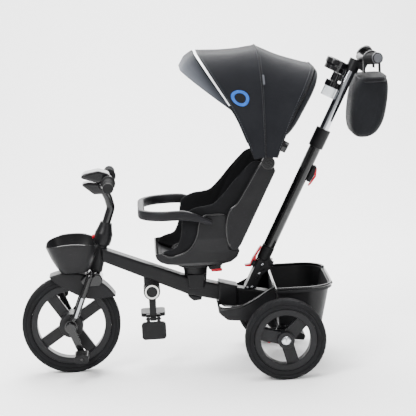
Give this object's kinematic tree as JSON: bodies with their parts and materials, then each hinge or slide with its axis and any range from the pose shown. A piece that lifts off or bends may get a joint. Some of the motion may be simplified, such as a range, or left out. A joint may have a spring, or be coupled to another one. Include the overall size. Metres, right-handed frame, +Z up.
{
  "type": "children's tricycle",
  "caption": "Children's push tricycle with folding canopy, swivel seat with safety bumper, front pedals, storage baskets and telescopic steering push handle.",
  "frame": {"origin": "on the floor under the middle of the tricycle's length and width", "axes": "+X to the rear, +Y to the child's right, +Z up"},
  "size_m": [0.9645, 0.472, 0.8148],
  "materials": {
    "satin_black_plastic": "satin",
    "gloss_black_plastic": "gloss",
    "rim_plastic": "satin",
    "tyre_foam": "matte",
    "black_painted_steel": "gloss",
    "plated_steel": "polished",
    "grip_rubber": "matte",
    "red_plastic": "satin",
    "white_plastic": "satin",
    "clear_plastic": "gloss",
    "bumper_wrap": "satin",
    "charcoal_fabric": "matte",
    "grey_webbing": "matte"
  },
  "bodies": {
    "frame": {"main_boom": "satin_black_plastic", "boom_socket": "satin_black_plastic", "rear_carrier": "satin_black_plastic", "rear_axle": "plated_steel", "seat_pillar": "satin_black_plastic", "swivel_base": "satin_black_plastic", "footrest_hanger": "satin_black_plastic", "footrest_rings": "white_plastic", "rear_basket": "satin_black_plastic", "handle_bracket": "satin_black_plastic"},
    "swivel_release": {"swivel_lever": "red_plastic"},
    "brake": {"brake_rocker": "satin_black_plastic"},
    "fold_release": {"fold_lever": "red_plastic"},
    "footrest": {"footrest_arm": "satin_black_plastic"},
    "left_foot_pad": {"foot_pad_left": "satin_black_plastic"},
    "right_foot_pad": {"foot_pad_right": "satin_black_plastic"},
    "steering": {"fork_crown": "satin_black_plastic", "fork_legs": "black_painted_steel", "stem": "black_painted_steel", "steering_collar": "satin_black_plastic", "handlebar": "black_painted_steel", "handlebar_grips": "grip_rubber", "bar_cover": "satin_black_plastic", "front_fender": "satin_black_plastic", "front_basket": "satin_black_plastic"},
    "steering_button": {"column_button": "red_plastic"},
    "front_wheel": {"front_tyre": "tyre_foam", "front_rim": "rim_plastic"},
    "cranks": {"crank_set": "black_painted_steel"},
    "left_pedal": {"pedal_left": "satin_black_plastic"},
    "right_pedal": {"pedal_right": "satin_black_plastic"},
    "left_rear_wheel": {"rear_tyre_left": "tyre_foam", "rear_rim_left": "rim_plastic"},
    "right_rear_wheel": {"rear_tyre_right": "tyre_foam", "rear_rim_right": "rim_plastic"},
    "seat": {"turntable": "satin_black_plastic", "seat_shell": "satin_black_plastic", "seat_cushion": "charcoal_fabric"},
    "bumper": {"bumper_bar": "bumper_wrap"},
    "back": {"back_shell": "satin_black_plastic", "back_pad": "charcoal_fabric", "harness": "grey_webbing", "canopy_hubs": "satin_black_plastic", "rear_bow": "black_painted_steel", "rear_cover": "charcoal_fabric", "curtain": "charcoal_fabric"},
    "canopy_middle": {"middle_bow": "black_painted_steel"},
    "canopy_front": {"front_bow": "black_painted_steel", "front_cover": "charcoal_fabric", "visor": "charcoal_fabric"},
    "handle_foot": {"handle_yoke": "satin_black_plastic"},
    "handle_lower": {"outer_tube": "black_painted_steel", "handle_collar": "satin_black_plastic"},
    "height_release": {"height_lever": "red_plastic"},
    "handle_upper": {"inner_tube": "plated_steel", "push_bar": "satin_black_plastic", "push_grips": "grip_rubber", "cup_holder": "gloss_black_plastic", "clear_sleeve": "clear_plastic", "bag": "charcoal_fabric"}
  },
  "joints": [
    {"name": "swivel_lever_pull", "type": "slide", "parent": "frame", "child": "swivel_release", "axis": [1, 0, 0], "range_m": [0, 0.006], "stiffness_N_per_m": 1500, "springref_m": -0.002},
    {"name": "brake_rock", "type": "hinge", "parent": "frame", "child": "brake", "pos_m": [0.18038, 0, 0.1015], "axis": [0, 1, 0], "range_deg": [0, 10]},
    {"name": "fold_lever_turn", "type": "hinge", "parent": "frame", "child": "fold_release", "pos_m": [0.11916, 0, 0.25981], "axis": [0, -1, 0], "range_deg": [0, 30], "stiffness_Nm_per_rad": 0.6, "springref_deg": -11.46},
    {"name": "footrest_fold", "type": "hinge", "parent": "frame", "child": "footrest", "pos_m": [-0.14512, 0, 0.204], "axis": [0, -1, 0], "range_deg": [0, 50]},
    {"name": "left_foot_pad_flip", "type": "hinge", "parent": "footrest", "child": "left_foot_pad", "pos_m": [-0.14512, -0.017, 0.13], "axis": [-1, 0, 0], "range_deg": [0, 90]},
    {"name": "right_foot_pad_flip", "type": "hinge", "parent": "footrest", "child": "right_foot_pad", "pos_m": [-0.14512, 0.017, 0.13], "axis": [-1, 0, 0], "range_deg": [0, 97]},
    {"name": "steering_turn", "type": "hinge", "parent": "frame", "child": "steering", "pos_m": [-0.25262, 0, 0.383], "axis": [0.2672, 0, 0.9636], "range_deg": [-34, 34]},
    {"name": "steering_button_press", "type": "slide", "parent": "steering", "child": "steering_button", "axis": [1, 0, 0], "range_m": [0, 0.004], "stiffness_N_per_m": 800, "springref_m": -0.001},
    {"name": "front_wheel_spin", "type": "hinge", "parent": "steering", "child": "front_wheel", "pos_m": [-0.35662, 0, 0.127], "axis": [0, 1, 0], "continuous": true},
    {"name": "crank_spin", "type": "hinge", "parent": "steering", "child": "cranks", "pos_m": [-0.35662, 0, 0.127], "axis": [0, 1, 0], "continuous": true},
    {"name": "left_pedal_spin", "type": "hinge", "parent": "cranks", "child": "left_pedal", "pos_m": [-0.33199, 0, 0.05934], "axis": [0, 1, 0], "continuous": true},
    {"name": "right_pedal_spin", "type": "hinge", "parent": "cranks", "child": "right_pedal", "pos_m": [-0.38124, 0, 0.19466], "axis": [0, 1, 0], "continuous": true},
    {"name": "left_rear_wheel_spin", "type": "hinge", "parent": "frame", "child": "left_rear_wheel", "pos_m": [0.18038, -0.205, 0.1015], "axis": [0, 1, 0], "continuous": true},
    {"name": "right_rear_wheel_spin", "type": "hinge", "parent": "frame", "child": "right_rear_wheel", "pos_m": [0.18038, 0.205, 0.1015], "axis": [0, 1, 0], "continuous": true},
    {"name": "seat_swivel", "type": "hinge", "parent": "frame", "child": "seat", "pos_m": [-0.02462, 0, 0.262], "axis": [0, 0, 1], "range_deg": [-90, 90]},
    {"name": "bumper_pull", "type": "slide", "parent": "seat", "child": "bumper", "axis": [-1, 0, 0], "range_m": [0, 0.04]},
    {"name": "back_recline", "type": "hinge", "parent": "seat", "child": "back", "pos_m": [0.06738, 0, 0.331], "axis": [0, -1, 0], "range_deg": [0, 15]},
    {"name": "canopy_middle_fold", "type": "hinge", "parent": "back", "child": "canopy_middle", "pos_m": [0.16038, 0, 0.538], "axis": [0, 1, 0], "range_deg": [0, 26]},
    {"name": "canopy_fold", "type": "hinge", "parent": "back", "child": "canopy_front", "pos_m": [0.16038, 0, 0.538], "axis": [0, 1, 0], "range_deg": [0, 52], "deforming": ["front_cover", "rear_cover"]},
    {"name": "handle_fold", "type": "hinge", "parent": "frame", "child": "handle_foot", "pos_m": [0.16118, 0, 0.25816], "axis": [0, 1, 0], "range_deg": [0, 55]},
    {"name": "push_turn", "type": "hinge", "parent": "handle_foot", "child": "handle_lower", "pos_m": [0.15638, 0, 0.29], "axis": [0.4633, 0, 0.8862], "range_deg": [-34, 34]},
    {"name": "height_lever_turn", "type": "hinge", "parent": "handle_lower", "child": "height_release", "pos_m": [0.288, 0, 0.49427], "axis": [0, -1, 0], "range_deg": [0, 16], "stiffness_Nm_per_rad": 0.4, "springref_deg": -11.46},
    {"name": "telescope", "type": "slide", "parent": "handle_lower", "child": "handle_upper", "axis": [0.4633, 0, 0.8862], "range_m": [-0.075, 0]}
  ],
  "couplings": [
    {"joint": "crank_spin", "follows": "front_wheel_spin", "ratio": 1},
    {"joint": "push_turn", "follows": "steering_turn", "ratio": 1},
    {"joint": "canopy_middle_fold", "follows": "canopy_fold", "ratio": 0.5}
  ]
}
